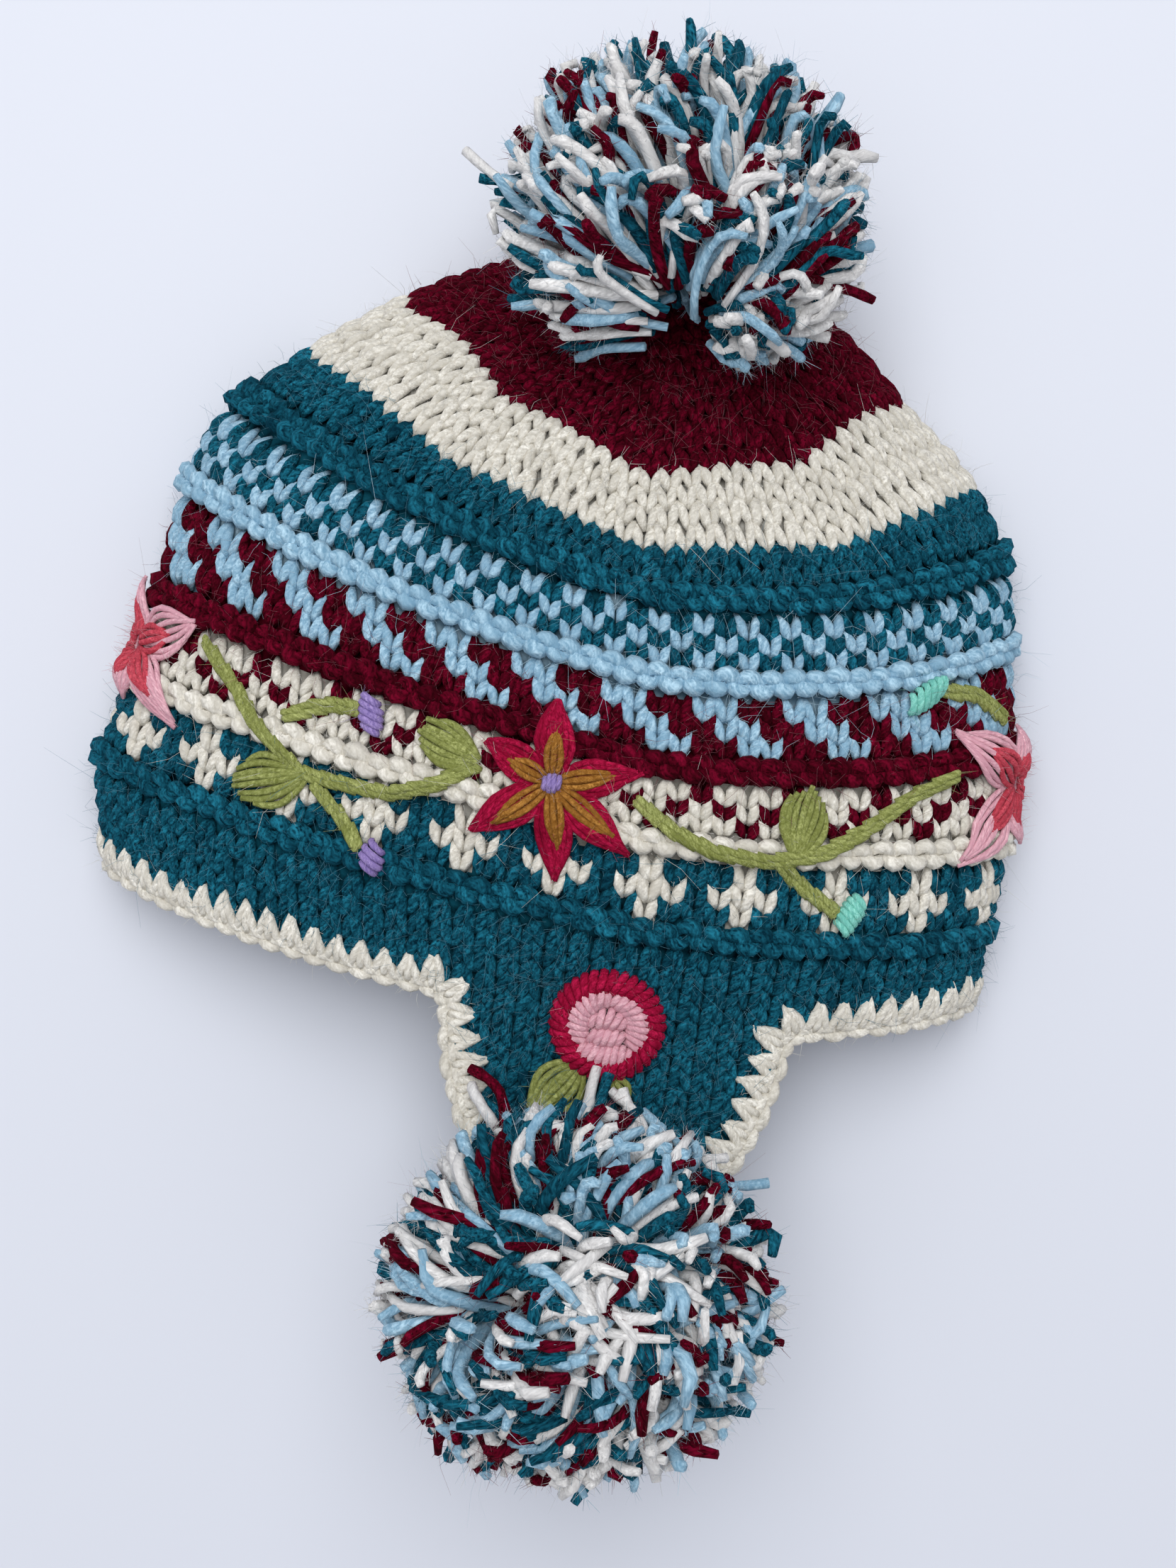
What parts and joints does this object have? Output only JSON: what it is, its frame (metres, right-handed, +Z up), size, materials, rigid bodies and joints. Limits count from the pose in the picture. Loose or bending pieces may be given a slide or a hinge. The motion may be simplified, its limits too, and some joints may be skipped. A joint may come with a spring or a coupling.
{
  "type": "earflap hat",
  "caption": "Hand-knitted earflap hat with patterned bands, embroidered flowers, crochet edging and pom-poms at its crown and flaps, lying flat on its side.",
  "frame": {"origin": "a point of the flat underside, on the plane that the hat lies on, midway between the side folds", "axes": "+Y from the ear flaps towards the crown, +X to the right seen from above, +Z up from the plane"},
  "size_m": [0.2737, 0.3826, 0.1165],
  "materials": {
    "teal": "matte wool yarn",
    "cream": "matte wool yarn",
    "olive": "matte wool yarn",
    "crimson": "matte wool yarn",
    "ochre": "matte wool yarn",
    "pink": "matte wool yarn",
    "coral": "matte wool yarn",
    "lilac": "matte wool yarn",
    "mint": "matte wool yarn",
    "mixed": "matte wool yarn"
  },
  "bodies": {
    "root": {"knit_body": "teal", "ear_flap_near": "teal", "ear_flap_far": "teal", "crochet_edging": "cream", "pompom_top": "mixed", "pompom_flap_near": "mixed", "pompom_flap_far": "mixed", "star_flower": "crimson", "star_flower_inlay": "ochre", "star_flower_knot": "lilac", "side_flower_left": "pink", "side_flower_left_inlay": "coral", "side_flower_right": "pink", "side_flower_right_inlay": "coral", "stem_left": "olive", "stem_right": "olive", "branch_left_upper": "olive", "branch_left_lower": "olive", "branch_right_upper": "olive", "branch_right_lower": "olive", "leaf_left": "olive", "leaf_star": "olive", "leaf_right": "olive", "rose_leaf": "olive", "bud_left_upper": "lilac", "bud_left_lower": "lilac", "bud_right_upper": "mint", "bud_right_lower": "mint", "rose_ring": "crimson", "rose_coils": "pink"}
  },
  "joints": []
}
